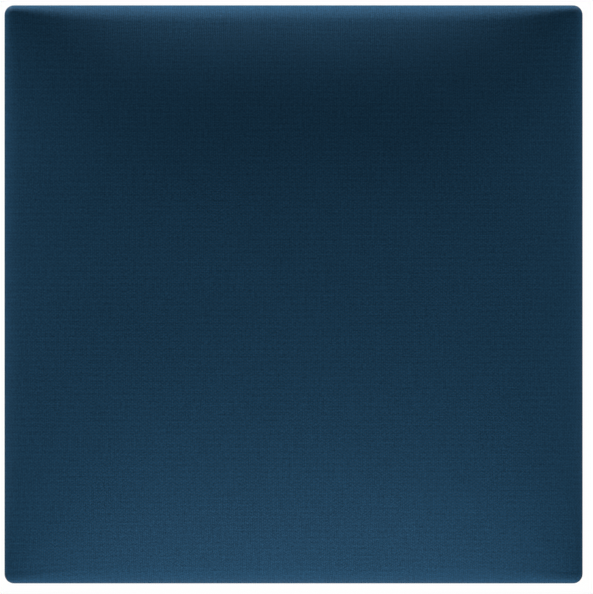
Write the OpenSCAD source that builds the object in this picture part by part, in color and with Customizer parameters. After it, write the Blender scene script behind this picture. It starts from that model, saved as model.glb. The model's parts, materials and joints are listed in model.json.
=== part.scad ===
// Square wall punch pad: a crowned, fabric covered foam block on a plywood
// back, hung on the wall by a pair of interlocking aluminium Z-rails.
//
// Frame, in millimetres: X runs across the pad, Z is up, the wall is the
// plane y = 0 and the pad faces -Y. The origin is the middle of the wall
// rail's screw line, on the wall. Depths below are distances from the wall.

/* [Pad] */
// Width and height of the finished pad, over the cover
pad_size = 300; // [280:5:400]
// Corner radius of the finished pad, seen from the front
corner_r = 5; // [4:0.5:10]
// Rise of the soft foam's dome, from its rolled edge to its middle
crown = 30; // [16:1:36]
// Width of the rolled edge round the face
roll_w = 7; // [5:0.5:10]
// Height of the foam's rolled edge
roll_h = 5.5; // [4:0.5:8]
// Gap between the wall and the back of the board
standoff = 8; // [7.5:0.5:12]

/* [Layers] */
// Thickness of the plywood backing board
board_t = 12; // [9:1:18]
// Thickness of the firm foam slab that takes the blow
foam_base_t = 15; // [12:1:30]
// Height of the soft foam's upright edge, below the roll
foam_edge_t = 1; // [0.5:0.5:8]
// Thickness of the polyester wadding on the face
wadding_t = 3; // [2:0.5:5]
// Thickness of the wadding where it is drawn down the sides
wadding_side_t = 1.6; // [1:0.1:2.5]
// Thickness of the woven cover
cover_t = 1.2; // [0.8:0.1:1.5]
// Width of the cover's hem on the back of the board
hem_w = 25; // [20:1:30]

/* [Rails] */
// Length of each Z-rail
rail_l = 200; // [180:5:220]
// Wall thickness of the rails
rail_t = 2.5; // [2.4:0.1:2.8]
// Depth that the two hooks reach past each other
hook_overlap = 13; // [10:0.5:15]
// Play of the hook in its pocket, on each side
hook_play = 0.45; // [0.3:0.05:0.6]
// Distance between the two wall screw holes
screw_pitch = 160; // [140:5:170]
// Radius of the wall screw holes
wall_hole_r = 2.7; // [2.2:0.1:3.2]

/* [Fixings] */
// Radius of the rubber bumpers at the board
bumper_r = 10; // [9:0.5:14]
// Width of one staple's crown
staple_w = 10; // [8:0.5:12]
// Number of staples along each side
staples_per_side = 11; // [6:1:14]

/* [Hidden] */

half = pad_size / 2;
gap = 0.1;                          // air between neighbouring soft layers
soft_half = half - cover_t - gap;   // outside of the wadding
board_half = soft_half - wadding_side_t - gap;
board_r = max(2, corner_r - cover_t - wadding_side_t + 0.6);
pad_z = -(half - 84);               // height of the pad's middle
board_d = standoff;                 // depth of the board's back
foam_d = board_d + board_t;
soft_d = foam_d + foam_base_t;
edge_d = soft_d + foam_edge_t;      // depth where the face starts to roll

// Z-rails: heights of their features above the wall screw line
flange_low = -13;
web_z = 8;
pocket = rail_t + 2 * hook_play;
tip_z = web_z + rail_t + 0.5 + hook_overlap;
pad_flange_h = 24;
pad_screw_z = tip_z + 14;
pad_screw_x = [-85, -30, 30, 85];
bumper_x = half - 50;
bumper_z = pad_z - half + 50;
staple_in = 13;                     // staple line, in from the board's edge

// Puts its children at depth d: their z then runs away from the wall
module at_depth(d) translate([0, -d, 0]) rotate([90, 0, 0]) children();

// ---- rounded outlines -------------------------------------------------

function unit(v) = v / norm(v);
// Points of an arc of radius r that rounds the corner b between a and c
function corner_arc(a, b, c, r, n = 6) =
    let (u = unit(a - b), v = unit(c - b), h = acos(u * v) / 2,
         m = b + unit(u + v) * r / sin(h),
         p = b + u * r / tan(h) - m, q = b + v * r / tan(h) - m,
         s = p.x * q.y - p.y * q.x > 0 ? 1 : -1)
    [for (i = [0:n]) let (t = s * (180 - 2 * h) * i / n)
        m + [p.x * cos(t) - p.y * sin(t), p.x * sin(t) + p.y * cos(t)]];
// A closed outline of [x, y, radius] corners, each rounded by its radius
function rounded(c) = let (n = len(c)) [for (i = [0:n - 1])
    let (a = c[(i + n - 1) % n], b = c[i], d = c[(i + 1) % n])
    each b[2] > 0
        ? corner_arc([a.x, a.y], [b.x, b.y], [d.x, d.y], b[2])
        : [[b.x, b.y]]];

module rounded_plate(h, r, t) linear_extrude(t) union() {
    square([2 * h, 2 * (h - r)], center = true);
    square([2 * (h - r), 2 * h], center = true);
    for (x = [-1, 1], y = [-1, 1])
        translate([x * (h - r), y * (h - r)]) circle(r, $fn = 48);
}

// ---- crowned soft layers ------------------------------------------------
// Each skin is a stack of closed rings that ends in one middle point. A ring
// is [half size, corner radius, depth]. Rings grow rounder towards the middle,
// and those on the face take their depth point by point from face_depth().

nc = 5;                             // steps round each ring corner
ns = 7;                             // steps along each ring side
N = 4 * (nc + ns);
// How far in from the edge each face ring lies, as a share of the half size
face_t = [0, 0.004, 0.012, 0.023, 0.036, 0.055, 0.09, 0.16, 0.27, 0.42, 0.62, 0.85];

// The dome falls to nothing at each side, so it sinks towards the corners
function dome(u) = pow(max(0, 1 - pow(abs(u), 2.95)), 0.9);
// Distance in from a rounded square outline of half size h and radius r
function inset(p, h, r) = let (qx = abs(p.x) - h + r, qy = abs(p.y) - h + r)
    r - min(max(qx, qy), 0) - norm([max(qx, 0), max(qy, 0)]);
// Depth of a face of half size h, corner radius r and dome height c at point p
function face_depth(p, h, r, c) = let (s = max(0, min(inset(p, h, r), roll_w)))
    edge_d + c * dome(p.x / h) * dome(p.y / h)
    + (roll_h + (c - crown) / 4) * sqrt(1 - pow(1 - s / roll_w, 2));
// Rings of a face. A fourth and fifth value give the dome and the face's size
function face_rings(h, r, c) = [for (t = face_t) let (a = h * (1 - t))
    [a, r + (0.8 * a - r) * pow(t, 0.8), edge_d, c, [h, r]]];
function middle_depth(c) = edge_d + c + roll_h + (c - crown) / 4;

function corner_point(a, r, q, j) = let (w = 90 * q + 90 * j / nc,
    m = (a - r) * sqrt(2)) [m * cos(90 * q + 45) + r * cos(w),
                            m * sin(90 * q + 45) + r * sin(w)];
function ring_outline(a, r) = [for (q = [0:3]) each concat(
    [for (j = [0:nc]) corner_point(a, r, q, j)],
    let (p = corner_point(a, r, q, nc), e = corner_point(a, r, (q + 1) % 4, 0))
    [for (k = [1:ns - 1]) p + (e - p) * k / ns])];
function ring_points(g) = [for (p = ring_outline(g[0], g[1]))
    [p.x, -(len(g) > 3 ? face_depth(p, g[4][0], g[4][1], g[3]) : g[2]), p.y + pad_z]];
// All points of a skin, its middle point last
function skin_points(rings, middle_d) = concat(
    [for (g = rings) each ring_points(g)], [[0, -middle_d, pad_z]]);
// Faces of a skin with its front outside (or inside, when flip is true)
function skin_faces(n, at, flip) = concat(
    [for (k = [0:n - 2], i = [0:N - 1])
        let (a = at + k * N + i, b = at + k * N + (i + 1) % N, c = a + N, d = b + N)
        each flip ? [[a, b, c], [b, d, c]] : [[a, c, b], [b, c, d]]],
    [for (i = [0:N - 1])
        let (a = at + (n - 1) * N + i, b = at + (n - 1) * N + (i + 1) % N, m = at + n * N)
        flip ? [a, b, m] : [a, m, b]]);

// A closed crowned block: rings from its flat back to its middle
module crowned_block(rings, middle_d) {
    n = len(rings);
    polyhedron(
        points = concat(skin_points(rings, middle_d),
                        [[0, -rings[0][2], pad_z]]),
        faces = concat(skin_faces(n, 0, false),
            [for (i = [0:N - 1]) [i, (i + 1) % N, n * N + 1]]),
        convexity = 4);
}
// A crowned shell, open at the back, between an outer and an inner skin
module crowned_shell(outer, outer_d, inner, inner_d) {
    n = len(outer);
    m = len(inner);
    s = n * N + 1;
    polyhedron(
        points = concat(skin_points(outer, outer_d), skin_points(inner, inner_d)),
        faces = concat(skin_faces(n, 0, false), skin_faces(m, s, true),
            [for (i = [0:N - 1]) let (j = (i + 1) % N)
                each [[i, j, s + j], [i, s + j, s + i]]]),
        convexity = 6);
}

// ---- rails and fixings --------------------------------------------------

// Rail profiles: x is -depth, y is the height above the screw line
module wall_rail() color("silver") difference() {
    rotate([90, 0, 90]) translate([0, 0, -rail_l / 2]) linear_extrude(rail_l)
        polygon(rounded([
            [0, flange_low, 0.5], [0, web_z + rail_t, 0.4],
            [-pocket, web_z + rail_t, 0.4], [-pocket, tip_z, 0.4],
            [-pocket - rail_t, tip_z, 0.4], [-pocket - rail_t, web_z, 1.2],
            [-rail_t, web_z, 0.6], [-rail_t, flange_low, 0.5]]));
    for (x = [-1, 1] * screw_pitch / 2) translate([x, 0, 0])
        at_depth(-1) cylinder(h = rail_t + 2, r = wall_hole_r, $fn = 48);
}

module pad_rail() color("gainsboro") difference() {
    rotate([90, 0, 90]) translate([0, 0, -rail_l / 2]) linear_extrude(rail_l)
        polygon(rounded([
            [-hook_play, web_z + rail_t + 0.5, 0.6],
            [-hook_play, tip_z + rail_t, 1.2],
            [-standoff + rail_t, tip_z + rail_t, 0.6],
            [-standoff + rail_t, tip_z + pad_flange_h, 0.5],
            [-standoff, tip_z + pad_flange_h, 0.5],
            [-standoff, tip_z, 0.4],
            [-hook_play - rail_t, tip_z, 0.4],
            [-hook_play - rail_t, web_z + rail_t + 0.5, 0.6]]));
    for (x = pad_screw_x) translate([x, 0, pad_screw_z])
        at_depth(standoff - rail_t) {
            translate([0, 0, -1]) cylinder(h = rail_t + 2, r = 2.2, $fn = 48);
            translate([0, 0, -0.01])
                cylinder(h = 2.02, r1 = 4.5, r2 = 2.2, $fn = 48);
        }
}

// Cross recess in a screw head that opens at z = 0
module cross_recess(w, d) for (a = [0, 90]) rotate([0, 0, a])
    translate([-w / 2, -0.45, -1]) cube([w, 0.9, d + 1]);

module pad_rail_screw() difference() {
    rotate_extrude($fn = 48) polygon([[0, 0], [3.9, 0], [3.9, 0.25],
        [2.0, 2.05], [2.0, 10.5], [0.3, 13], [0, 13]]);
    cross_recess(4.2, 1.4);
}
module pad_rail_screws() color("lightgrey")
    for (x = pad_screw_x) translate([x, 0, pad_screw_z])
        at_depth(standoff - rail_t) pad_rail_screw();

module bumper() at_depth(0) rotate_extrude($fn = 64) polygon([
    [5.2, 0.3], [5.5, 0], [bumper_r - 1.6, 0], [bumper_r - 0.8, 0.8],
    [bumper_r, standoff - 0.6], [bumper_r, standoff], [2.2, standoff],
    [2.2, standoff - 4], [5.2, standoff - 4]]);
module bumper_left() color("dimgray")
    translate([-bumper_x, 0, bumper_z]) bumper();
module bumper_right() color("dimgray")
    translate([bumper_x, 0, bumper_z]) bumper();

module bumper_washers() color("silver")
    for (x = [-1, 1] * bumper_x) translate([x, 0, bumper_z])
        at_depth(standoff - 4.8) difference() {
            cylinder(h = 0.8, r = 4.9, $fn = 48);
            translate([0, 0, -1]) cylinder(h = 3, r = 2.0, $fn = 48);
        }

module bumper_screw() difference() {
    rotate_extrude($fn = 48) polygon([[0, 0], [2.4, 0], [3.2, 0.5],
        [3.5, 1.3], [3.5, 2.1], [1.75, 2.1], [1.75, 12.5], [0.3, 14.5],
        [0, 14.5]]);
    cross_recess(3.8, 1.3);
}
module bumper_screws() color("lightgrey")
    for (x = [-1, 1] * bumper_x) translate([x, 0, bumper_z])
        at_depth(standoff - 6.9) bumper_screw();

// ---- board, foam and cover ------------------------------------------------

module backing_board() color("burlywood") at_depth(board_d) difference() {
    translate([0, pad_z, 0]) rounded_plate(board_half, board_r, board_t);
    for (x = pad_screw_x) translate([x, pad_screw_z, -1])
        cylinder(h = 11, r = 1.4, $fn = 32);
    for (x = [-1, 1] * bumper_x) translate([x, bumper_z, -1])
        cylinder(h = 9, r = 1.2, $fn = 32);
}

module foam_base() color("slategray") at_depth(foam_d)
    translate([0, pad_z, 0]) rounded_plate(board_half, board_r, foam_base_t);

module foam_top() color("lightsteelblue") crowned_block(
    concat([[board_half, board_r, soft_d + gap / 2]],
           face_rings(board_half, board_r, crown)),
    middle_depth(crown));

module wadding() color("whitesmoke") crowned_shell(
    concat([[soft_half, board_r + wadding_side_t, board_d + 1.5]],
           face_rings(soft_half, board_r + wadding_side_t, crown + gap + wadding_t)),
    middle_depth(crown + gap + wadding_t),
    concat([[board_half + gap, board_r + gap, board_d + 1.5]],
           face_rings(board_half + gap, board_r + gap, crown + gap)),
    middle_depth(crown + gap));

// Rings of the cover's hem: its cut edge, the turn, and the foot of the side
function hem_rings(h, r, d, turn) = [
    [board_half - hem_w, r, d], [h - turn, r, d], [h - 0.3 * turn, r, d + 0.3 * turn],
    [h, r, d + turn]];
cover_rise = crown + 2 * gap + wadding_t;
module cover() color([0.08, 0.20, 0.28]) crowned_shell(
    concat(hem_rings(half, corner_r, board_d - gap - cover_t, 1.6),
           face_rings(half, corner_r, cover_rise + cover_t)),
    middle_depth(cover_rise + cover_t),
    concat(hem_rings(half - cover_t, corner_r - cover_t, board_d - gap, 0.8),
           face_rings(half - cover_t, corner_r - cover_t, cover_rise)),
    middle_depth(cover_rise));

module staple() translate([0, 0, -0.55]) {
    translate([-staple_w / 2, -0.35, 0]) cube([staple_w, 0.7, 0.55]);
    for (x = [-staple_w / 2, staple_w / 2 - 0.7])
        translate([x, -0.35, 0.25]) cube([0.7, 0.7, 8]);
}
module cover_staples() color("silver")
    at_depth(board_d - gap - cover_t) translate([0, pad_z, 0])
        for (a = [0:90:270], i = [0:staples_per_side - 1])
            let (run = 2 * (board_half - staple_in - 12))
            rotate([0, 0, a])
                translate([run * (i / (staples_per_side - 1) - 0.5),
                           -(board_half - staple_in), 0]) staple();

wall_rail();
pad_rail();
pad_rail_screws();
backing_board();
bumper_left();
bumper_right();
bumper_washers();
bumper_screws();
foam_base();
foam_top();
wadding();
cover();
cover_staples();
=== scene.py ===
import json
import math

import bpy
import numpy as np
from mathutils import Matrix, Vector

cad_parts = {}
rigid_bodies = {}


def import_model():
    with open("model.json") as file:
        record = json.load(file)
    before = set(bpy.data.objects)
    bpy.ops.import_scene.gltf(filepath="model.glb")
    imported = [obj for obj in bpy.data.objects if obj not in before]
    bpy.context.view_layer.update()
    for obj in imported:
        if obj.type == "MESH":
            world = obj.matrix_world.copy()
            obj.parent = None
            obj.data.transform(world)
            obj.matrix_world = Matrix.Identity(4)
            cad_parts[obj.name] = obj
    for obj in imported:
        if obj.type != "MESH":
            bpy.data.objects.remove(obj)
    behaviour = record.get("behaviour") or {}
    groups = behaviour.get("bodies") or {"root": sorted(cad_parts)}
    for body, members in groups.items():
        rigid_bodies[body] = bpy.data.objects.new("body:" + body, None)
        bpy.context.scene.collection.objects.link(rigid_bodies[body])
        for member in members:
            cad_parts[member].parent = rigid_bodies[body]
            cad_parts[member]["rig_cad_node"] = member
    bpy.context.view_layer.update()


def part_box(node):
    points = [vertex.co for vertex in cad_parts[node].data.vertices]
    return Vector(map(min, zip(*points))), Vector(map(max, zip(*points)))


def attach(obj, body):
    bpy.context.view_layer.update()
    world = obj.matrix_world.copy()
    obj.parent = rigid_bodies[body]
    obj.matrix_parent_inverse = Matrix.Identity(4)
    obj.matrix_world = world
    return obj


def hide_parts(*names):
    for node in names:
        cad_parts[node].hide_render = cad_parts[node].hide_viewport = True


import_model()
scene = bpy.context.scene

# ---------------------------------------------------------------- frame sizes
# Millimetres from here on, as x, d, z: d is the depth out from the wall (-Y).
cov_lo, cov_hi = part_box("cover")
board_lo, board_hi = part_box("backing_board")
base_lo, base_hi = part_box("foam_base")
HALF = (cov_hi.x - cov_lo.x) * 500            # half the pad's width
PZ = (cov_hi.z + cov_lo.z) * 500              # height of the pad's middle
D_HEM = -cov_hi.y * 1000                      # outer face of the hem
D_TOP = -cov_lo.y * 1000                      # crown of the face
D_BOARD = -board_hi.y * 1000                  # back of the board
D_FOAM = -base_hi.y * 1000                    # back of the firm foam
D_SOFT = -base_lo.y * 1000                    # back of the soft foam
BHALF = (board_hi.x - board_lo.x) * 500
CLOTH_T = 1.2
CORNER_R = 5.0
D_EDGE = 36.0                                 # where the sides end and the face rolls
ROLL_W, ROLL_H = 8.4, 5.5
HEM_W = 25.0
STAPLES = 11
CLOTH_FRAMES, CLOTH_CAP = 20, 1.5              # the cover's simulation: frames, millimetres
STAPLE_RUN = 2 * (BHALF - 13.0 - 12.0)
STAPLE_IN = BHALF - 13.0                      # staple line, from the pad's middle
STAPLE_AT = [STAPLE_RUN * (i / (STAPLES - 1) - 0.5) for i in range(STAPLES)]


def link(name, verts, faces, smooth=True):
    """A mesh object from points in millimetres (x, d, z)."""
    v = np.asarray(verts, float)
    co = np.stack([v[:, 0], -v[:, 1], v[:, 2]], 1) / 1000
    me = bpy.data.meshes.new(name)
    me.from_pydata(co.tolist(), [], [tuple(map(int, f)) for f in faces])
    me.validate()
    me.update()
    if smooth:
        me.polygons.foreach_set("use_smooth", [True] * len(me.polygons))
    ob = bpy.data.objects.new(name, me)
    scene.collection.objects.link(ob)
    return ob


def smoothstep(a, b, x):
    t = np.clip((np.asarray(x, float) - a) / (b - a), 0, 1)
    return t * t * (3 - 2 * t)


def waves(x, y, seed, scale, n=7):
    """Smooth, repeatable unevenness of about -1 to 1: a sum of seeded waves."""
    rng = np.random.default_rng(seed)
    out = 0
    for _ in range(n):
        a, f, p = rng.uniform(0, 2 * math.pi), rng.uniform(0.6, 1.6) / scale, rng.uniform(0, 6.28)
        out = out + np.sin(2 * math.pi * f * (x * math.cos(a) + y * math.sin(a)) + p)
    return out / math.sqrt(n) / 1.2


# ---------------------------------------------------------------- the face
def dome(u, p=2.9, q=0.88):
    return np.clip(1 - np.abs(u) ** p, 0, None) ** q


def inset(x, z, h, r):
    qx, qz = np.abs(x) - h + r, np.abs(z) - h + r
    return r - np.minimum(np.maximum(qx, qz), 0) - np.hypot(np.maximum(qx, 0), np.maximum(qz, 0))


def face_depth(x, z, half=HALF, r=CORNER_R, less=0.0):
    """Depth of a face of that half size at x, z (z from the pad's middle).

    The cloth is drawn tightest at the corners: there the roll is narrower and
    the face sinks a little along the diagonal.
    """
    fx, fz = np.clip(half - np.abs(x), 0, None), np.clip(half - np.abs(z), 0, None)
    far = np.maximum(fx, fz)
    near = np.exp(-(far / 21.0) ** 2)
    w = ROLL_W * (1 - 0.44 * near)
    s = np.clip(inset(x, z, half, r), 0, w) / w
    roll = (ROLL_H * (1 + 0.16 * near) - less * 0.25) * np.sqrt(np.clip(1 - (1 - s) ** 2, 0, 1))
    rise = D_TOP - D_EDGE - ROLL_H - less * 0.75
    sink = np.where(z > 0, 0.7, 1.7) * np.exp(-(fx ** 2 + fz ** 2) / 38.0 ** 2) * s
    return D_EDGE + roll + rise * dome(x / half) * dome(z / half) - sink


def grid_steps(half, n_roll, n_body):
    """Grid lines from edge to edge: close together over the roll."""
    roll = [ROLL_W * (1 - math.cos(a)) for a in np.linspace(0, math.pi / 2, n_roll)]
    k = np.linspace(0, 1, n_body + 1)[1:]
    s = np.array(roll + (ROLL_W + (half - ROLL_W) * k ** 1.15).tolist())
    left = -half + s
    return np.concatenate([left, -left[::-1][1:]])


def square_grid(half, r, n_roll=9, n_body=56):
    """A square grid whose corners are rounded to the radius r."""
    g = grid_steps(half, n_roll, n_body)
    X, Z = np.meshgrid(g, g)
    c = half - r
    a = np.clip((np.abs(X) - c) / r, 0, 1)
    b = np.clip((np.abs(Z) - c) / r, 0, 1)
    both = (a > 0) & (b > 0)
    ax, bz = a * np.sqrt(1 - b * b / 2), b * np.sqrt(1 - a * a / 2)
    X = np.where(both, np.sign(X) * (c + ax * r), X)
    Z = np.where(both, np.sign(Z) * (c + bz * r), Z)
    return X, Z


def ring_of(n):
    """Grid indices round the edge of an n x n grid, and the corners' places."""
    idx = np.arange(n * n).reshape(n, n)
    ring = list(idx[0, :-1]) + list(idx[:-1, -1]) + list(idx[-1, :0:-1]) + list(idx[:0:-1, 0])
    return idx, ring


def quads_of(idx, flip=False):
    a, b, c, d = idx[:-1, :-1].ravel(), idx[:-1, 1:].ravel(), idx[1:, 1:].ravel(), idx[1:, :-1].ravel()
    f = np.stack([a, b, c, d], 1)
    return (f[:, ::-1] if flip else f).tolist()


class Skin:
    """Points, faces and cloth coordinates, grown ring by ring."""

    def __init__(self, X, Z, D, U=None, V=None):
        n = X.shape[0]
        self.v = [np.stack([X.ravel(), D.ravel(), Z.ravel() + PZ], 1)]
        self.uv = [np.stack([(X if U is None else U).ravel(), (Z if V is None else V).ravel()], 1)]
        self.idx, self.ring = ring_of(n)
        self.f = quads_of(self.idx)
        self.count = n * n
        self.last = list(self.ring)

    def add(self, x, d, z, u, v):
        m = len(x)
        cur = list(range(self.count, self.count + m))
        self.v.append(np.stack([x, d, z + PZ], 1))
        self.uv.append(np.stack([u, v], 1))
        self.f += [(self.last[k], cur[k], cur[(k + 1) % m], self.last[(k + 1) % m]) for k in range(m)]
        self.last = cur
        self.count += m

    def build(self, name):
        ob = link(name, np.concatenate(self.v), self.f)
        at = ob.data.attributes.new("cloth", "FLOAT_VECTOR", "POINT")
        uv = np.concatenate(self.uv)
        at.data.foreach_set("vector", np.column_stack([uv, np.zeros(len(uv))]).ravel().astype(np.float32))
        return ob


def staple_press(c):
    """1 under a staple, 0 between two."""
    c = np.asarray(c, float)
    near = np.min([np.abs(c - s) for s in STAPLE_AT], axis=0)
    return np.exp(-((np.clip(near - 4.6, 0, None) / 3.4) ** 2))


def settled_face(X, Z, steps):
    """The face's depth once the cloth has found its own tension over the foam.

    A sheet with 4 to 5 mm between its points starts on the designed face,
    edges and sides pinned where the cloth is drawn over the foam. Blender's
    cloth solver blows it up from inside, with gravity off, until its weave
    takes the load. No point may move more than CLOTH_CAP. The move is then
    carried over to the fine grid of the cover.
    """
    coarse = grid_steps(HALF, 4, 28)
    xs, zs = square_grid(HALF, CORNER_R, 4, 28)
    n = len(coarse)
    skin = Skin(xs, zs, face_depth(xs, zs))
    ring = np.array(skin.ring)
    cx, cz = xs.ravel()[ring], zs.ravel()[ring]
    for d in (30.0, 22.0):
        skin.add(cx, np.full(len(cx), d), cz, cx, cz)
    ob = skin.build("cloth_at_rest")
    me = ob.data
    count = len(me.vertices)
    rest = np.empty(count * 3, np.float32)
    me.vertices.foreach_get("co", rest)
    pins = ob.vertex_groups.new(name="pins")
    held = 1 - smoothstep(2.0, 16.0, inset(xs, zs, HALF, CORNER_R)).ravel()
    held = np.concatenate([held, np.ones(count - n * n)])
    for level in range(1, 11):
        at = np.nonzero(np.round(held * 10) == level)[0]
        if len(at):
            pins.add([int(i) for i in at], level / 10, "REPLACE")
    cloth = ob.modifiers.new("cloth", "CLOTH")
    c = cloth.settings
    c.quality = 6
    c.mass = 0.1
    c.tension_stiffness = c.compression_stiffness = 12
    c.shear_stiffness = 3
    c.bending_stiffness = 0.4
    c.tension_damping = c.compression_damping = c.shear_damping = 5
    c.air_damping = 2
    c.use_pressure = True
    c.uniform_pressure_force = 4.0
    c.effector_weights.gravity = 0
    c.vertex_group_mass = "pins"
    cloth.collision_settings.use_collision = False
    cloth.point_cache.frame_start, cloth.point_cache.frame_end = 1, CLOTH_FRAMES
    for f in range(1, CLOTH_FRAMES + 1):
        scene.frame_set(f)
    got = ob.evaluated_get(bpy.context.evaluated_depsgraph_get()).data
    now = np.empty(count * 3, np.float32)
    got.vertices.foreach_get("co", now)
    move = (rest - now).reshape(-1, 3)[:n * n, 1].reshape(n, n).astype(float) * 1000
    print("cloth: mean move %.3f mm, most %.3f mm" % (np.abs(move).mean(), np.abs(move).max()))
    for _ in range(8):                        # the solver's own jitter comes out
        for axis in (0, 1):
            a, b = np.roll(move, 1, axis), np.roll(move, -1, axis)
            inner = np.zeros_like(move, bool)
            inner[1:-1, 1:-1] = True
            move = np.where(inner, 0.5 * move + 0.25 * (a + b), move)
    move = CLOTH_CAP * np.tanh(move / CLOTH_CAP)
    scene.frame_set(1)
    bpy.data.objects.remove(ob)
    bpy.data.meshes.remove(me)
    rows = np.array([np.interp(steps, coarse, r) for r in move])
    return face_depth(X, Z) + np.array([np.interp(steps, coarse, c_) for c_ in rows.T]).T


def build_cover():
    X, Z = square_grid(HALF, CORNER_R)
    n = X.shape[0]
    D = settled_face(X, Z, grid_steps(HALF, 9, 56))
    # cloth coordinates: lengths along the cloth from the middle lines
    mid = n // 2
    U = np.zeros_like(X)
    V = np.zeros_like(Z)
    du = np.hypot(np.diff(X, axis=1), np.diff(D, axis=1))
    dv = np.hypot(np.diff(Z, axis=0), np.diff(D, axis=0))
    U[:, 1:] = np.cumsum(du, axis=1)
    V[1:, :] = np.cumsum(dv, axis=0)
    U -= U[:, mid:mid + 1]
    V -= V[mid:mid + 1, :]
    skin = Skin(X, Z, D, U, V)
    ring = np.array(skin.ring)
    cx, cz = X.ravel()[ring], Z.ravel()[ring]
    ru, rv = U.ravel()[ring], V.ravel()[ring]
    m = len(ring)
    # the outward direction at each point of the edge
    c = HALF - CORNER_R
    ox, oz = np.sign(cx) * np.clip(np.abs(cx) - c, 0, None), np.sign(cz) * np.clip(np.abs(cz) - c, 0, None)
    ln = np.hypot(ox, oz)
    ox, oz = ox / ln, oz / ln
    # the place along each side, and the distance from each corner's middle
    upright = np.abs(ox) > np.abs(oz)
    along = np.where(upright, cz, cx)
    seg = np.hypot(np.diff(np.append(cx, cx[0])), np.diff(np.append(cz, cz[0])))
    s = np.concatenate([[0], np.cumsum(seg)[:-1]])
    total = seg.sum()
    fold = np.full(m, 1e3)                    # over flap above 0, under flap below
    for q in range(4):
        a = (s - s[q * (n - 1)] + total / 2) % total - total / 2
        b = a * (1 if q % 2 == 0 else -1)
        fold = np.where(np.abs(b) < np.abs(fold), b, fold)
    over = 1 - smoothstep(10, 36, fold)
    press = staple_press(along) * (np.abs(along) < STAPLE_RUN / 2 + 8)
    uneven = waves(s, s * 0, 11, 31)

    def side_out(d):
        """How far the side stands out at depth d: pull marks and the corner's tuck."""
        k = smoothstep(29, 9, d)
        pull = -0.34 * (press - 0.1) * smoothstep(27, 9, d)
        tuck = 0.85 * smoothstep(-4.9, -3.9, fold) * over * k
        crease = -0.5 * np.exp(-((fold + 5.2) / 0.9) ** 2) * k
        gather = 0.22 * np.exp(-((fold - 7.5) / 2.6) ** 2) * smoothstep(29, 15, d)
        return pull + tuck + crease + gather + 0.12 * uneven * smoothstep(33, 24, d) * (1 - np.exp(-(fold / 9) ** 2))

    length = 0.0
    prev = D_EDGE
    for d in np.linspace(D_EDGE, D_HEM + 1.6, 20)[1:]:
        length += prev - d
        prev = d
        o = side_out(d)
        skin.add(cx + ox * o, np.full(m, d), cz + oz * o, ru + ox * length, rv + oz * length)
    o = side_out(D_HEM + 1.6)
    hem_raise = 1.0 * smoothstep(-0.9, 0.5, fold) * (1 - smoothstep(5, 26, fold))
    for a in np.linspace(0, math.pi / 2, 5)[1:]:
        t = 1.6 * (1 - math.cos(a))
        k = (HALF - t) / HALF
        mix = a / (math.pi / 2)
        d = D_HEM + 1.6 - 1.6 * math.sin(a) - mix * hem_raise
        ln = length + 1.6 * a
        oo = o * (1 - mix * 0.4)
        skin.add(cx * k + ox * oo, d, cz * k + oz * oo, ru + ox * ln, rv + oz * ln)
    length += 1.6 * math.pi / 2
    full = HALF - BHALF + HEM_W
    cut = 0.5 * waves(s, s * 0, 5, 23) + 0.2 * waves(s, s * 0, 6, 6)
    for t in np.linspace(1.6, full, 15)[1:]:
        w = (t - 1.6) / (full - 1.6)
        k = (HALF - t - w * w * w * cut) / HALF
        from_staple = abs(HALF - t - STAPLE_IN)
        here = along * (HALF - t) / HALF
        under = staple_press(here) * (np.abs(here) < STAPLE_RUN / 2 + 8)
        hold = under * math.exp(-(max(0.0, from_staple - 1.5) / 4.0) ** 2)
        lift = (0.22 + 0.55 * w ** 2) * (1 - hold) * smoothstep(0, 0.25, w)
        lift = lift * (0.75 + 0.35 * waves(s, s * 0 + t, 8, 21))
        groove = -0.55 * np.exp(-((fold + 1.4) / 0.9) ** 2) * smoothstep(0, 0.2, w)
        oo = o * 0.6 * (1 - w)
        d = D_HEM - np.clip(lift + groove, -0.02, 1.3) - hem_raise * (1 - 0.25 * w) * (1 - 0.95 * hold)
        ln = length + t - 1.6
        skin.add(cx * k + ox * oo, d, cz * k + oz * oo, ru + ox * ln, rv + oz * ln)
    ob = skin.build("cover_cloth")
    mod = ob.modifiers.new("thickness", "SOLIDIFY")
    mod.thickness = CLOTH_T / 1000
    mod.offset = -1.0
    return ob, skin


cover, cover_skin = build_cover()


def build_fray():
    """Loose thread ends along the hem's cut edge."""
    rng = np.random.default_rng(21)
    edge = cover_skin.v[-1]
    back = cover_skin.v[-2]
    m = len(edge)
    verts, faces = [], []
    for _ in range(300):
        k = int(rng.integers(m))
        p = edge[k] + (edge[(k + 1) % m] - edge[k]) * rng.uniform(0, 1)
        out = edge[k] - back[k]
        out[1] = 0
        out = out / np.linalg.norm(out)
        side = np.array([-out[2], 0, out[0]])
        ln, bend, r = rng.uniform(0.8, 3.4), rng.uniform(-0.9, 0.9), rng.uniform(0.09, 0.16)
        p = p - out * 0.3 + np.array([0, rng.uniform(0.3, 0.9), 0])
        base = len(verts)
        rings = 5
        for i in range(rings):
            t = i / (rings - 1)
            q = p + out * ln * t + side * bend * ln * 0.45 * t * t + np.array([0, -0.35 * t * rng.uniform(0.6, 1.2), 0])
            rr = r * (1 - 0.45 * t)
            for j in range(5):
                w = 2 * math.pi * j / 5
                verts.append(q + side * rr * math.cos(w) + np.array([0, rr * math.sin(w), 0]))
        for i in range(rings - 1):
            for j in range(5):
                a, b = base + i * 5 + j, base + i * 5 + (j + 1) % 5
                faces.append((a, b, b + 5, a + 5))
        faces.append(tuple(base + j for j in reversed(range(5))))
        faces.append(tuple(base + (rings - 1) * 5 + j for j in range(5)))
    return link("cover_fray", verts, faces)


fray = build_fray()


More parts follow.
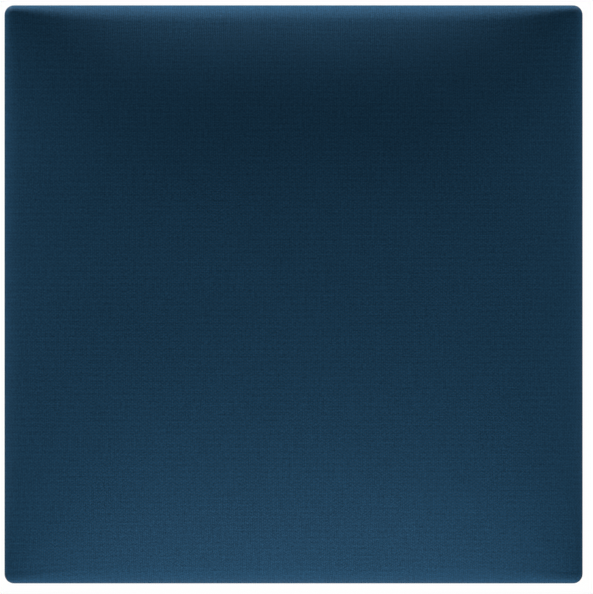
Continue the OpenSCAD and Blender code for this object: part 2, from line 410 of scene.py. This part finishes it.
# ---------------------------------------------------------------- soft layers
def block(name, half, r, front, back_d, round_back=1.0):
    """A closed block with a shaped front, upright sides and a flat back."""
    X, Z = square_grid(half, r, 7, 30)
    skin = Skin(X, Z, front(X, Z))
    ring = np.array(skin.ring)
    cx, cz = X.ravel()[ring], Z.ravel()[ring]
    d0 = float(front(X, Z).ravel()[ring].mean())
    for d in np.linspace(d0, back_d + round_back, 6)[1:]:
        skin.add(cx, np.full(len(cx), d), cz, cx, cz)
    n = X.shape[0]
    start = skin.count
    k = (half - round_back) / half
    skin.v.append(np.stack([(X * k).ravel(), np.full(n * n, back_d), (Z * k).ravel() + PZ], 1))
    skin.uv.append(np.stack([X.ravel(), Z.ravel()], 1))
    idx = skin.idx + start
    ring2 = [r_ + start for r_ in skin.ring]
    m = len(ring2)
    skin.f += [(skin.last[i], ring2[i], ring2[(i + 1) % m], skin.last[(i + 1) % m]) for i in range(m)]
    skin.f += quads_of(idx, True)
    skin.count += n * n
    return skin.build(name)


foam_top = block("foam_top_block", BHALF, 2.8,
                 lambda x, z: face_depth(x, z, BHALF, 2.8, CLOTH_T + 3.3), D_SOFT + 0.05, 0.5)


def slab_front(x, z):
    s = np.clip(inset(x, z, BHALF, 2.8), 0, 1.2)
    return D_SOFT - 1.2 + 1.2 * np.sqrt(np.clip(1 - (1 - s / 1.2) ** 2, 0, 1)) - 0.12 * (1 + waves(x, z, 31, 60))


foam_base = block("foam_base_slab", BHALF, 2.8, slab_front, D_FOAM, 1.0)


def build_wadding():
    """Polyester wadding: over the foam's face and down the sides."""
    half = HALF - CLOTH_T - 0.15
    X, Z = square_grid(half, 4.2, 7, 34)
    skin = Skin(X, Z, face_depth(X, Z, half, 4.2, CLOTH_T + 0.25) - 0.12 * (1 + waves(X, Z, 41, 9)))
    ring = np.array(skin.ring)
    cx, cz = X.ravel()[ring], Z.ravel()[ring]
    low = D_BOARD + 1.6
    for d in np.linspace(D_EDGE, low, 9)[1:]:
        skin.add(cx, np.full(len(cx), d), cz, cx, cz)
    inner = BHALF + 0.15
    k = inner / half
    XI, ZI = square_grid(inner, 2.9, 7, 34)
    ix, iz = XI.ravel()[ring], ZI.ravel()[ring]
    for d in np.linspace(low, D_EDGE, 9)[:-1]:
        skin.add(ix, np.full(len(ix), d), iz, ix, iz)
    start = skin.count
    n = XI.shape[0]
    DI = face_depth(XI, ZI, inner, 2.9, CLOTH_T + 3.1)
    skin.v.append(np.stack([XI.ravel(), DI.ravel(), ZI.ravel() + PZ], 1))
    skin.uv.append(np.stack([XI.ravel(), ZI.ravel()], 1))
    ring2 = [r_ + start for r_ in skin.ring]
    m = len(ring2)
    skin.f += [(skin.last[i], ring2[i], ring2[(i + 1) % m], skin.last[(i + 1) % m]) for i in range(m)]
    skin.f += quads_of(skin.idx + start, True)
    skin.count += n * n
    return skin.build("wadding_sheet")


wadding = build_wadding()


# ---------------------------------------------------------------- staples
def build_staples():
    """Flattened wire staples, each driven a little out of true."""
    rng = np.random.default_rng(3)
    verts, faces = [], []
    W, R = 10.0 / 2 - 0.35, 0.75
    for q in range(4):
        ca, sa = math.cos(q * math.pi / 2), math.sin(q * math.pi / 2)
        for c in STAPLE_AT:
            tilt = rng.normal(0, 0.035)
            dx, dz = rng.normal(0, 0.25), rng.normal(0, 0.3)
            bow = rng.uniform(-0.02, 0.07)
            path = [(-W, 6.4), (-W, 1.6)]
            path += [(-W + R * (1 - math.cos(a)), R * (1 - math.sin(a)))
                     for a in np.linspace(0.0, math.pi / 2, 5)]
            path += [(x, bow * (1 - (x / W) ** 2)) for x in np.linspace(-W + R, W - R, 7)[1:-1]]
            path += [(W - R * (1 - math.sin(a)), R * (1 - math.cos(a)))
                     for a in np.linspace(0.0, math.pi / 2, 5)]
            path += [(W, 1.6), (W, 6.4)]
            path = np.array(path)
            tan = np.gradient(path, axis=0)
            tan /= np.linalg.norm(tan, axis=1)[:, None]
            base = len(verts)
            sides = 8
            for (px, pd), (tx, td) in zip(path, tan):
                nx, nd = -td, tx                       # across the wire, in its plane
                for j in range(sides):
                    w = 2 * math.pi * (j + 0.5) / sides
                    # a rounded rectangle: 0.7 wide, 0.5 thick
                    ex = np.sign(math.cos(w)) * abs(math.cos(w)) ** 0.6
                    ey = np.sign(math.sin(w)) * abs(math.sin(w)) ** 0.6
                    lx, ld, lz = px + nx * 0.25 * ex, pd + nd * 0.25 * ex, 0.35 * ey
                    lx, lz = lx * math.cos(tilt) - lz * math.sin(tilt), lx * math.sin(tilt) + lz * math.cos(tilt)
                    gx, gz = c + dx + lx, -STAPLE_IN + dz + lz
                    verts.append((gx * ca - gz * sa, D_HEM - 0.27 + ld, gx * sa + gz * ca + PZ))
            n = len(path)
            for i in range(n - 1):
                for j in range(sides):
                    a, b = base + i * sides + j, base + i * sides + (j + 1) % sides
                    faces.append((a, a + sides, b + sides, b))
            faces.append(tuple(base + j for j in range(sides)))
            faces.append(tuple(base + (n - 1) * sides + j for j in reversed(range(sides))))
    return link("staple_wires", verts, faces)


staples = build_staples()


# ---------------------------------------------------------------- materials
class Nodes:
    """A small hand for wiring one material's nodes."""

    def __init__(self, name):
        self.m = bpy.data.materials.new(name)
        self.m.use_nodes = True
        self.t = self.m.node_tree
        self.b = self.t.nodes["Principled BSDF"]

    def put(self, socket, value):
        if hasattr(value, "is_output"):
            self.t.links.new(value, socket)
        elif value is not None:
            socket.default_value = value

    def node(self, kind, ins=(), **props):
        n = self.t.nodes.new(kind)
        for k, v in props.items():
            setattr(n, k, v)
        for k, v in dict(ins).items():
            self.put(n.inputs[k], v)
        return n

    def math(self, op, a, b=None, c=None, clamp=False):
        n = self.node("ShaderNodeMath", operation=op, use_clamp=clamp)
        for i, v in enumerate((a, b, c)):
            if v is not None:
                self.put(n.inputs[i], v)
        return n.outputs[0]

    def vec(self, op, a, b=None, scale=None):
        n = self.node("ShaderNodeVectorMath", operation=op)
        self.put(n.inputs[0], a)
        if b is not None:
            self.put(n.inputs[1], b)
        if scale is not None:
            self.put(n.inputs["Scale"], scale)
        return n.outputs[0]

    def noise(self, vector, scale=1.0, detail=2.0, rough=0.5, warp=0.0):
        n = self.node("ShaderNodeTexNoise", {"Vector": vector, "Scale": scale, "Detail": detail,
                                             "Roughness": rough, "Distortion": warp})
        return n.outputs["Fac"]

    def stretch(self, vector, sx, sy, sz):
        return self.vec("MULTIPLY", vector, (sx, sy, sz))

    def ramp(self, fac, stops):
        n = self.node("ShaderNodeValToRGB", {"Fac": fac})
        e = n.color_ramp.elements
        while len(e) < len(stops):
            e.new(0.5)
        for el, (p, col) in zip(e, stops):
            el.position = p
            el.color = (*col, 1) if len(col) == 3 else col
        return n.outputs["Color"]

    def level(self, fac, lo0, hi0, lo1, hi1):
        n = self.node("ShaderNodeMapRange", {"Value": fac, "From Min": lo0, "From Max": hi0,
                                             "To Min": lo1, "To Max": hi1})
        return n.outputs["Result"]

    def mix(self, fac, a, b, blend="MIX"):
        n = self.node("ShaderNodeMix", data_type="RGBA", blend_type=blend)
        self.put(n.inputs[0], fac)
        self.put(n.inputs[6], a)
        self.put(n.inputs[7], b)
        return n.outputs[2]

    def scaled(self, colour, k):
        return self.vec("SCALE", colour, scale=k)

    def bump(self, height, distance, strength=1.0, normal=None):
        n = self.node("ShaderNodeBump", {"Height": height, "Distance": distance, "Strength": strength})
        if normal is not None:
            self.put(n.inputs["Normal"], normal)
        return n.outputs["Normal"]

    def object_mm(self):
        """Object coordinates in millimetres."""
        return self.vec("SCALE", self.node("ShaderNodeTexCoord").outputs["Object"], scale=1000.0)

    def split(self, vector):
        n = self.node("ShaderNodeSeparateXYZ", {0: vector})
        return n.outputs[0], n.outputs[1], n.outputs[2]

    def join(self, x, y, z=0.0):
        n = self.node("ShaderNodeCombineXYZ", {0: x, 1: y, 2: z})
        return n.outputs[0]

    def done(self, **inputs):
        for k, v in inputs.items():
            self.put(self.b.inputs[k.replace("_", " ")], v)
        return self.m


BASE = (0.0094, 0.0363, 0.0702)


def weave_material():
    g = Nodes("petrol_weave")
    cloth = g.node("ShaderNodeAttribute", attribute_name="cloth").outputs["Vector"]
    u, v, _ = g.split(cloth)
    wob = g.noise(g.stretch(cloth, 0.11, 0.11, 1), 1.0, 2.0)
    wob2 = g.noise(g.vec("ADD", g.stretch(cloth, 0.09, 0.13, 1), (37.0, 11.0, 0)), 1.0, 2.0)
    u = g.math("ADD", u, g.math("MULTIPLY", g.math("SUBTRACT", wob, 0.5), 1.6))
    v = g.math("ADD", v, g.math("MULTIPLY", g.math("SUBTRACT", wob2, 0.5), 1.1))
    fu, fv = g.math("DIVIDE", u, 1.10), g.math("DIVIDE", v, 0.83)
    iu, iv = g.math("FLOOR", fu), g.math("FLOOR", fv)
    pu = g.math("SUBTRACT", g.math("SUBTRACT", fu, iu), 0.5)
    pv = g.math("SUBTRACT", g.math("SUBTRACT", fv, iv), 0.5)
    cu = g.math("COSINE", g.math("MULTIPLY", pu, math.pi))
    cv = g.math("COSINE", g.math("MULTIPLY", pv, math.pi))
    top = g.math("ABSOLUTE", g.math("MODULO", g.math("ADD", iu, iv), 2.0))     # 1: warp on top
    soft_u = g.math("MULTIPLY_ADD", cu, 0.45, 0.55)
    soft_v = g.math("MULTIPLY_ADD", cv, 0.45, 0.55)
    warp = g.math("MULTIPLY", cu, soft_v)
    weft = g.math("MULTIPLY", cv, soft_u)
    height = g.math("ADD", g.math("MULTIPLY", warp, top),
                    g.math("MULTIPLY", weft, g.math("SUBTRACT", 1.0, top)))
    # slubs: long uneven threads each way, and a broad drift of tone
    slub_u = g.noise(g.join(g.math("MULTIPLY", u, 0.075), g.math("MULTIPLY", v, 1.05)), 1.0, 3.0, 0.6)
    slub_v = g.noise(g.join(g.math("MULTIPLY", u, 0.85), g.math("MULTIPLY", v, 0.06), 7.0), 1.0, 3.0, 0.6)
    fleck = g.noise(g.join(g.math("MULTIPLY", u, 0.7), g.math("MULTIPLY", v, 0.95), 3.0), 1.0, 2.0, 0.7)
    broad = g.noise(g.stretch(cloth, 0.018, 0.022, 1), 1.0, 2.0)
    rows = g.math("COSINE", g.math("MULTIPLY", v, 2 * math.pi / 3.32))
    # painted shade: the cloth's colour is darker where its threads dip and lighter on their tops, following the weave's
    # height
    tone = g.math("MULTIPLY_ADD", height, 0.34, 0.78)
    tone = g.math("MULTIPLY_ADD", g.math("SUBTRACT", slub_u, 0.5), 0.33, tone)
    tone = g.math("MULTIPLY_ADD", g.math("SUBTRACT", slub_v, 0.5), 0.30, tone)
    tone = g.math("MULTIPLY_ADD", g.math("SUBTRACT", fleck, 0.5), 1.13, tone)
    tone = g.math("MULTIPLY_ADD", g.math("SUBTRACT", broad, 0.5), 0.12, tone)
    tone = g.math("MULTIPLY_ADD", rows, 0.04, tone)
    warp_col = (BASE[0] * 1.25, BASE[1] * 1.03, BASE[2] * 1.0, 1)
    weft_col = (BASE[0] * 0.75, BASE[1] * 0.97, BASE[2] * 1.0, 1)
    colour = g.scaled(g.mix(top, weft_col, warp_col), tone)
    relief = g.math("MULTIPLY_ADD", g.math("SUBTRACT", g.math("ADD", slub_u, slub_v), 1.0), 0.7, height)
    relief = g.math("MULTIPLY_ADD", fleck, 0.35, relief)
    rough = g.level(height, 0.2, 1.0, 0.56, 0.44)
    return g.done(Base_Color=colour, Roughness=rough, Specular_IOR_Level=0.01,
                  Normal=g.bump(relief, 0.00012, 0.55))


def thread_material():
    g = Nodes("loose_thread")
    p = g.object_mm()
    tone = g.level(g.noise(p, 0.6, 2.0), 0.3, 0.7, 0.8, 1.5)
    return g.done(Base_Color=g.scaled((0.013, 0.048, 0.085), tone), Roughness=0.75,
                  Specular_IOR_Level=0.2, Sheen_Weight=0.15,
                  Normal=g.bump(g.noise(p, 6.0, 2.0), 0.0001, 0.5))


def foam_material(name, light, dark, cell, chips=False):
    g = Nodes(name)
    p = g.object_mm()
    cells = g.node("ShaderNodeTexVoronoi", {"Vector": p, "Scale": 1.0 / cell}, feature="F1").outputs["Distance"]
    fine = g.noise(p, 1.3 / cell, 3.0, 0.6)
    broad = g.noise(p, 0.03, 2.0)
    # painted shade: the foam's cells are darker in their hollows and lighter on their walls, following the bump
    fac = g.math("ADD", g.math("MULTIPLY", cells, 0.7), g.math("MULTIPLY", fine, 0.5), clamp=True)
    colour = g.mix(fac, (*dark, 1), (*light, 1))
    if chips:
        chip = g.node("ShaderNodeTexVoronoi", {"Vector": p, "Scale": 0.11}, feature="F1").outputs["Color"]
        grey = g.node("ShaderNodeRGBToBW", {0: chip}).outputs[0]
        colour = g.scaled(colour, g.level(grey, 0.2, 0.8, 0.55, 1.5))
    colour = g.scaled(colour, g.level(broad, 0.3, 0.7, 0.93, 1.06))
    return g.done(Base_Color=colour, Roughness=0.92, Specular_IOR_Level=0.15,
                  Subsurface_Weight=0.0, Normal=g.bump(fac, 0.0004, 0.7))


def wadding_material():
    g = Nodes("polyester_wadding")
    p = g.object_mm()
    fibres = g.noise(g.stretch(p, 0.5, 0.5, 0.5), 1.6, 5.0, 0.75, 1.8)
    lumps = g.noise(p, 0.08, 3.0, 0.6, 0.8)
    colour = g.ramp(fibres, [(0.3, (0.66, 0.67, 0.67)), (0.6, (0.84, 0.84, 0.83))])
    colour = g.scaled(colour, g.level(lumps, 0.3, 0.7, 0.94, 1.04))
    return g.done(Base_Color=colour, Roughness=0.95, Sheen_Weight=0.3, Specular_IOR_Level=0.2,
                  Normal=g.bump(g.math("ADD", fibres, lumps), 0.0006, 0.6))


def wood_material():
    """Birch ply: face grain along x, its plies on the edges."""
    g = Nodes("birch_plywood")
    p = g.object_mm()
    x, y, z = g.split(p)
    bend = g.noise(g.join(g.math("MULTIPLY", x, 0.006), 0.0, g.math("MULTIPLY", z, 0.02)), 1.0, 3.0)
    zz = g.math("MULTIPLY_ADD", bend, 26.0, z)
    rings = g.noise(g.join(g.math("MULTIPLY", x, 0.006), g.math("MULTIPLY", y, 0.05),
                           g.math("MULTIPLY", zz, 0.10)), 1.0, 4.0, 0.55, 0.4)
    fibre = g.noise(g.join(g.math("MULTIPLY", x, 0.045), y, g.math("MULTIPLY", z, 1.5)), 1.0, 4.0, 0.65)
    pores = g.noise(g.join(g.math("MULTIPLY", x, 0.22), y, g.math("MULTIPLY", z, 3.2)), 1.0, 2.0, 0.5)
    pore = g.level(pores, 0.62, 0.74, 0.0, 1.0)
    face = g.ramp(rings, [(0.30, (0.50, 0.330, 0.185)), (0.45, (0.63, 0.450, 0.270)),
                          (0.56, (0.68, 0.500, 0.315)), (0.72, (0.55, 0.375, 0.215))])
    face = g.scaled(face, g.level(fibre, 0.3, 0.7, 0.74, 0.95))
    face = g.mix(g.math("MULTIPLY", pore, 0.42), face, (0.28, 0.165, 0.085, 1))
    # a few small knots and mineral flecks
    knot = g.node("ShaderNodeTexVoronoi", {"Vector": g.join(g.math("MULTIPLY", x, 0.011), 0.0,
                                                          g.math("MULTIPLY", z, 0.016)),
                                           "Scale": 1.0, "Randomness": 1.0}, feature="F1").outputs["Distance"]
    knot = g.level(knot, 0.03, 0.075, 1.0, 0.0)
    face = g.mix(g.math("MULTIPLY", knot, 0.55), face, (0.24, 0.125, 0.060, 1))
    # plies: nine bands through the thickness, every other one end grain
    band = g.math("DIVIDE", g.math("SUBTRACT", g.math("MULTIPLY", y, -1.0), D_BOARD), 12.0 / 9)
    odd = g.math("ABSOLUTE", g.math("MODULO", g.math("FLOOR", band), 2.0))
    glue = g.math("ABSOLUTE", g.math("SUBTRACT", g.math("SUBTRACT", band, g.math("FLOOR", band)), 0.5))
    glue = g.level(glue, 0.40, 0.49, 0.0, 0.65)
    ply = g.mix(odd, (0.60, 0.430, 0.250, 1), (0.40, 0.255, 0.130, 1))
    ply = g.mix(glue, ply, (0.17, 0.095, 0.050, 1))
    ply = g.scaled(ply, g.level(g.noise(p, 1.4, 3.0), 0.3, 0.7, 0.72, 0.98))
    nx, ny, nz = g.split(g.node("ShaderNodeNewGeometry").outputs["True Normal"])
    flat = g.level(g.math("ABSOLUTE", ny), 0.6, 0.8, 0.0, 1.0)
    colour = g.mix(flat, ply, face)
    relief = g.math("SUBTRACT", g.math("MULTIPLY", fibre, 0.6), g.math("MULTIPLY", pore, 0.7))
    return g.done(Base_Color=colour, Roughness=g.level(fibre, 0.3, 0.7, 0.56, 0.72),
                  Specular_IOR_Level=0.35, Normal=g.bump(relief, 0.00022, 0.6))


def edge_round(g, radius):
    return g.node("ShaderNodeBevel", {"Radius": radius}, samples=4).outputs["Normal"]


def aluminium_material(name, tint, seed):
    """Mill finish extrusion: die lines along x, a few rubs and handling marks."""
    g = Nodes(name)
    p = g.vec("ADD", g.object_mm(), (seed, 0.0, 0.0))
    x, y, z = g.split(p)
    lines = g.noise(g.join(g.math("MULTIPLY", x, 0.010), g.math("MULTIPLY", y, 2.4),
                           g.math("MULTIPLY", z, 2.4)), 1.0, 4.0, 0.7)
    fine = g.noise(g.join(g.math("MULTIPLY", x, 0.05), g.math("MULTIPLY", y, 7.0),
                          g.math("MULTIPLY", z, 7.0)), 1.0, 2.0, 0.6)
    cloud = g.noise(p, 0.035, 4.0, 0.6, 0.6)
    scuff = g.noise(g.join(g.math("MULTIPLY", g.math("ADD", x, z), 0.55),
                           g.math("MULTIPLY", y, 0.4),
                           g.math("MULTIPLY", g.math("SUBTRACT", z, x), 0.035)), 1.0, 3.0, 0.6)
    scuff = g.level(scuff, 0.64, 0.72, 0.0, 1.0)
    colour = g.ramp(cloud, [(0.3, tuple(c * 0.88 for c in tint)), (0.7, tint)])
    colour = g.scaled(colour, g.level(lines, 0.3, 0.7, 0.90, 1.04))
    colour = g.mix(g.math("MULTIPLY", scuff, 0.30), colour, (0.92, 0.92, 0.93, 1))
    rough = g.math("ADD", g.level(lines, 0.3, 0.7, 0.36, 0.48), g.level(cloud, 0.3, 0.7, -0.03, 0.07))
    rough = g.math("MULTIPLY_ADD", scuff, -0.08, rough)
    relief = g.math("MULTIPLY_ADD", fine, 0.35, lines)
    return g.done(Base_Color=colour, Metallic=1.0, Roughness=rough,
                  Normal=g.bump(relief, 0.00006, 0.45, edge_round(g, 0.0003)))


def steel_material(name, tint, rough, passivated=False):
    """Zinc plated steel: a fine spangle."""
    g = Nodes(name)
    p = g.object_mm()
    mottled = g.noise(p, 1.1, 4.0, 0.65)
    grain = g.noise(p, 9.0, 3.0, 0.7)
    colour = g.ramp(mottled, [(0.32, tuple(c * 0.72 for c in tint)), (0.55, tint),
                              (0.72, tuple(min(1, c * 1.12) for c in tint))])
    if passivated:
        film = g.noise(p, 0.45, 2.0)
        colour = g.mix(g.level(film, 0.45, 0.7, 0.0, 0.35), colour, (0.52, 0.46, 0.30, 1))
    return g.done(Base_Color=colour, Metallic=1.0,
                  Roughness=g.level(mottled, 0.3, 0.7, rough - 0.06, rough + 0.10),
                  Normal=g.bump(grain, 0.00003, 0.5, edge_round(g, 0.00018)))


def rubber_material(name, seed):
    """Matt black rubber with a moulded grain, chalky where it has rubbed."""
    g = Nodes(name)
    p = g.vec("ADD", g.object_mm(), (seed, seed * 0.7, 0.0))
    x, y, z = g.split(g.object_mm())
    grain = g.noise(p, 2.6, 4.0, 0.7)
    bloom = g.noise(p, 0.22, 4.0, 0.6, 0.8)
    tip = g.level(y, -0.0021 * 1000, 0.0, 0.0, 0.5)         # the end that meets the wall
    dust = g.math("ADD", g.level(bloom, 0.45, 0.75, 0.0, 0.35), g.math("MULTIPLY", tip, grain), clamp=True)
    colour = g.mix(dust, (0.017, 0.017, 0.018, 1), (0.075, 0.073, 0.070, 1))
    return g.done(Base_Color=colour, Roughness=g.level(bloom, 0.3, 0.7, 0.60, 0.82),
                  Specular_IOR_Level=0.35,
                  Normal=g.bump(grain, 0.00012, 0.55, edge_round(g, 0.0004)))


def floor_material():
    g = Nodes("pale_floor")
    p = g.node("ShaderNodeTexCoord").outputs["Object"]
    n = g.noise(p, 1.3, 4.0, 0.6)
    f = g.noise(p, 40.0, 3.0, 0.6)
    # painted light: the floor glows, its emission rising from 0.58 near the middle to 0.93 far out
    far = g.level(g.node("ShaderNodeVectorMath", {0: p}, operation="LENGTH").outputs["Value"],
                  2.5, 14.0, 0.0, 1.0)
    colour = g.ramp(n, [(0.3, (0.80, 0.80, 0.795)), (0.7, (0.85, 0.85, 0.845))])
    return g.done(Base_Color=colour, Roughness=g.level(f, 0.3, 0.7, 0.6, 0.75),
                  Specular_IOR_Level=0.25, Normal=g.bump(f, 0.0004, 0.2),
                  Emission_Color=(1, 1, 1, 1), Emission_Strength=g.level(far, 0.0, 1.0, 0.58, 0.93))


weave = weave_material()
cover.data.materials.append(weave)
fray.data.materials.append(thread_material())
foam_top.data.materials.append(foam_material("soft_pu_foam", (0.62, 0.70, 0.78), (0.34, 0.42, 0.50), 0.9))
foam_base.data.materials.append(foam_material("rebonded_foam", (0.22, 0.25, 0.29), (0.06, 0.07, 0.085), 1.2, True))
wadding.data.materials.append(wadding_material())
staples.data.materials.append(steel_material("galvanised_wire", (0.66, 0.67, 0.68), 0.34))


def dress(node, material):
    """Gives a CAD node's object its finished material."""
    for ob in scene.objects:
        if ob.get("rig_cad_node") == node or ob.name == node:
            if not ob.material_slots:
                ob.data.materials.append(material)
            for sl in ob.material_slots:
                sl.material = material


dress("wall_rail", aluminium_material("mill_aluminium_wall", (0.74, 0.745, 0.755), 0.0))
dress("pad_rail", aluminium_material("mill_aluminium_pad", (0.78, 0.782, 0.786), 61.0))
dress("pad_rail_screws", steel_material("zinc_screws", (0.70, 0.70, 0.69), 0.26, True))
dress("bumper_screws", steel_material("zinc_pan_screws", (0.68, 0.68, 0.68), 0.28, True))
dress("bumper_washers", steel_material("zinc_washers", (0.62, 0.63, 0.64), 0.36))
dress("backing_board", wood_material())
dress("bumper_left", rubber_material("rubber_left", 3.0))
dress("bumper_right", rubber_material("rubber_right", 17.0))

# ---------------------------------------------------------------- what rides on what
for piece in (cover, fray, foam_top, foam_base, wadding, staples):
    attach(piece, "pad")
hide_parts("cover")
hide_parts("foam_top")
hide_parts("foam_base")
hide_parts("wadding")
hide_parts("cover_staples")

# ---------------------------------------------------------------- camera
PX = 300.0 / 578.09                            # millimetres a pixel at the pad's edge
cam_data = bpy.data.cameras.new("camera")
cam = bpy.data.objects.new("camera", cam_data)
scene.collection.objects.link(cam)
scene.camera = cam
DIST = 3.0
cam.location = (2.94 * PX / 1000, -DIST - D_EDGE / 1000, PZ / 1000 - 2.64 * PX / 1000)
cam.rotation_euler = (math.pi / 2, 0, 0)
cam_data.sensor_width = 36
cam_data.sensor_fit = "AUTO"
cam_data.lens = 36 * DIST * 1000 / (594 * PX)
cam_data.clip_start, cam_data.clip_end = 0.1, 100

# ---------------------------------------------------------------- floor and light
floor_mesh = bpy.data.meshes.new("floor")
rim = [(16 * math.cos(a), 16 * math.sin(a), -1.6) for a in np.linspace(0, 2 * math.pi, 97)[:-1]]
floor_mesh.from_pydata(rim, [], [tuple(range(96))])
floor = bpy.data.objects.new("floor", floor_mesh)
scene.collection.objects.link(floor)
floor.data.materials.append(floor_material())

scene.view_settings.view_transform = "Standard"
world = bpy.data.worlds.new("world")
scene.world = world
world.use_nodes = True
WN, WL = world.node_tree.nodes, world.node_tree.links
room = WN["Background"]
room.inputs[0].default_value = (1, 1, 1, 1)
room.inputs[1].default_value = 0.05
paper = WN.new("ShaderNodeBackground")
paper.inputs[0].default_value = (0.992, 0.992, 0.992, 1)
paper.inputs[1].default_value = 1.0
path = WN.new("ShaderNodeLightPath")
both = WN.new("ShaderNodeMixShader")
WL.new(path.outputs["Is Camera Ray"], both.inputs[0])
WL.new(room.outputs[0], both.inputs[1])
WL.new(paper.outputs[0], both.inputs[2])
WL.new(both.outputs[0], WN["World Output"].inputs[0])

AIM = Vector((0, -0.05, PZ / 1000))


def lamp(name, theta, phi, watts, dist=1.3, size=0.55, colour=(1, 1, 1)):
    """A soft round light: theta from straight ahead of the face, phi 0 right and 90 up."""
    data = bpy.data.lights.new(name, "AREA")
    data.shape, data.size, data.energy, data.color = "DISK", size, watts, colour
    ob = bpy.data.objects.new(name, data)
    scene.collection.objects.link(ob)
    t, p = math.radians(theta), math.radians(phi)
    d = Vector((math.sin(t) * math.cos(p), -math.cos(t), math.sin(t) * math.sin(p)))
    ob.location = AIM + d * dist
    ob.rotation_euler = (-d).to_track_quat("-Z", "Y").to_euler()
    ob.visible_camera = False
    return ob


LAMPS = [(54, -112, 3.22), (54, -90, 8.50), (72, -72, 3.72), (72, -108, 0.74), (88, -165, 0.47),
         (88, -150, 2.14), (88, -45, 3.38), (105, -165, 1.25), (105, 60, 30.9), (105, 120, 41.9),
         (105, 75, 2.1), (105, 90, 1.4)]
for i, (theta, phi, watts) in enumerate(LAMPS):
    lamp(f"soft_{i}", theta, phi, watts)
# behind the pad, for its back: these don't reach the face
lamp("back_key", 128, 132, 3.0, 1.7, 0.6)
lamp("back_fill", 152, 10, 1.3, 1.9, 1.3)
lamp("back_low", 140, -100, 1.2, 1.6, 1.0)
